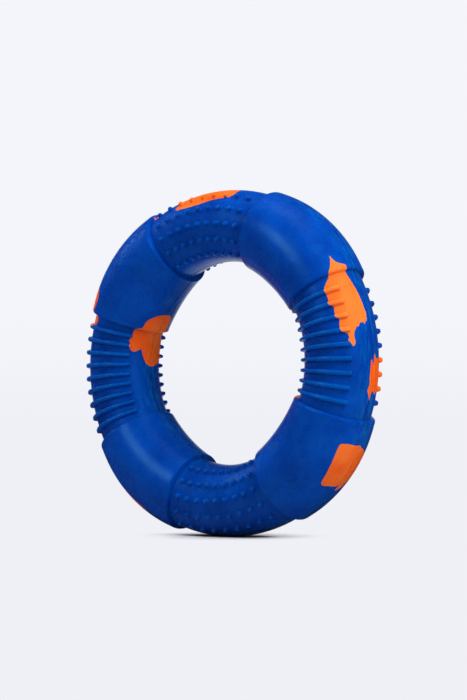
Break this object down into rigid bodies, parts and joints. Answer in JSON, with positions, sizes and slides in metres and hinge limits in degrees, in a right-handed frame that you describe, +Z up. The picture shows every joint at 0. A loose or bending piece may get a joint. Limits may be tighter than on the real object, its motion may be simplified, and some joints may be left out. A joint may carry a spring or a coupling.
{
  "type": "dog ring toy",
  "caption": "Hollow rubber chew ring standing on its rim, with smooth thick collars between ribbed and nubby stretches, in blue with flush orange patches.",
  "frame": {"origin": "on the floor under the ring's centre, in the parting plane between the two half shells", "axes": "+Z up, +Y along the ring's axis towards its rear face, +X to the right as seen from the front face"},
  "size_m": [0.1436, 0.0356, 0.1433],
  "materials": {
    "blue_rubber": "satin moulded rubber",
    "orange_rubber": "satin moulded rubber"
  },
  "bodies": {
    "root": {"front_half_shell": "blue_rubber", "rear_half_shell": "blue_rubber", "top_patch_front": "orange_rubber", "top_patch_rear": "orange_rubber", "upper_left_patch": "orange_rubber", "upper_left_chip": "orange_rubber", "inner_left_patch_front": "orange_rubber", "inner_left_patch_rear": "orange_rubber", "right_patch": "orange_rubber", "right_rim_patch_front": "orange_rubber", "right_rim_patch_rear": "orange_rubber", "lower_right_patch_front": "orange_rubber", "lower_right_patch_rear": "orange_rubber", "lower_left_patch": "orange_rubber", "lower_right_chip": "orange_rubber", "bottom_patch": "orange_rubber"}
  },
  "joints": []
}
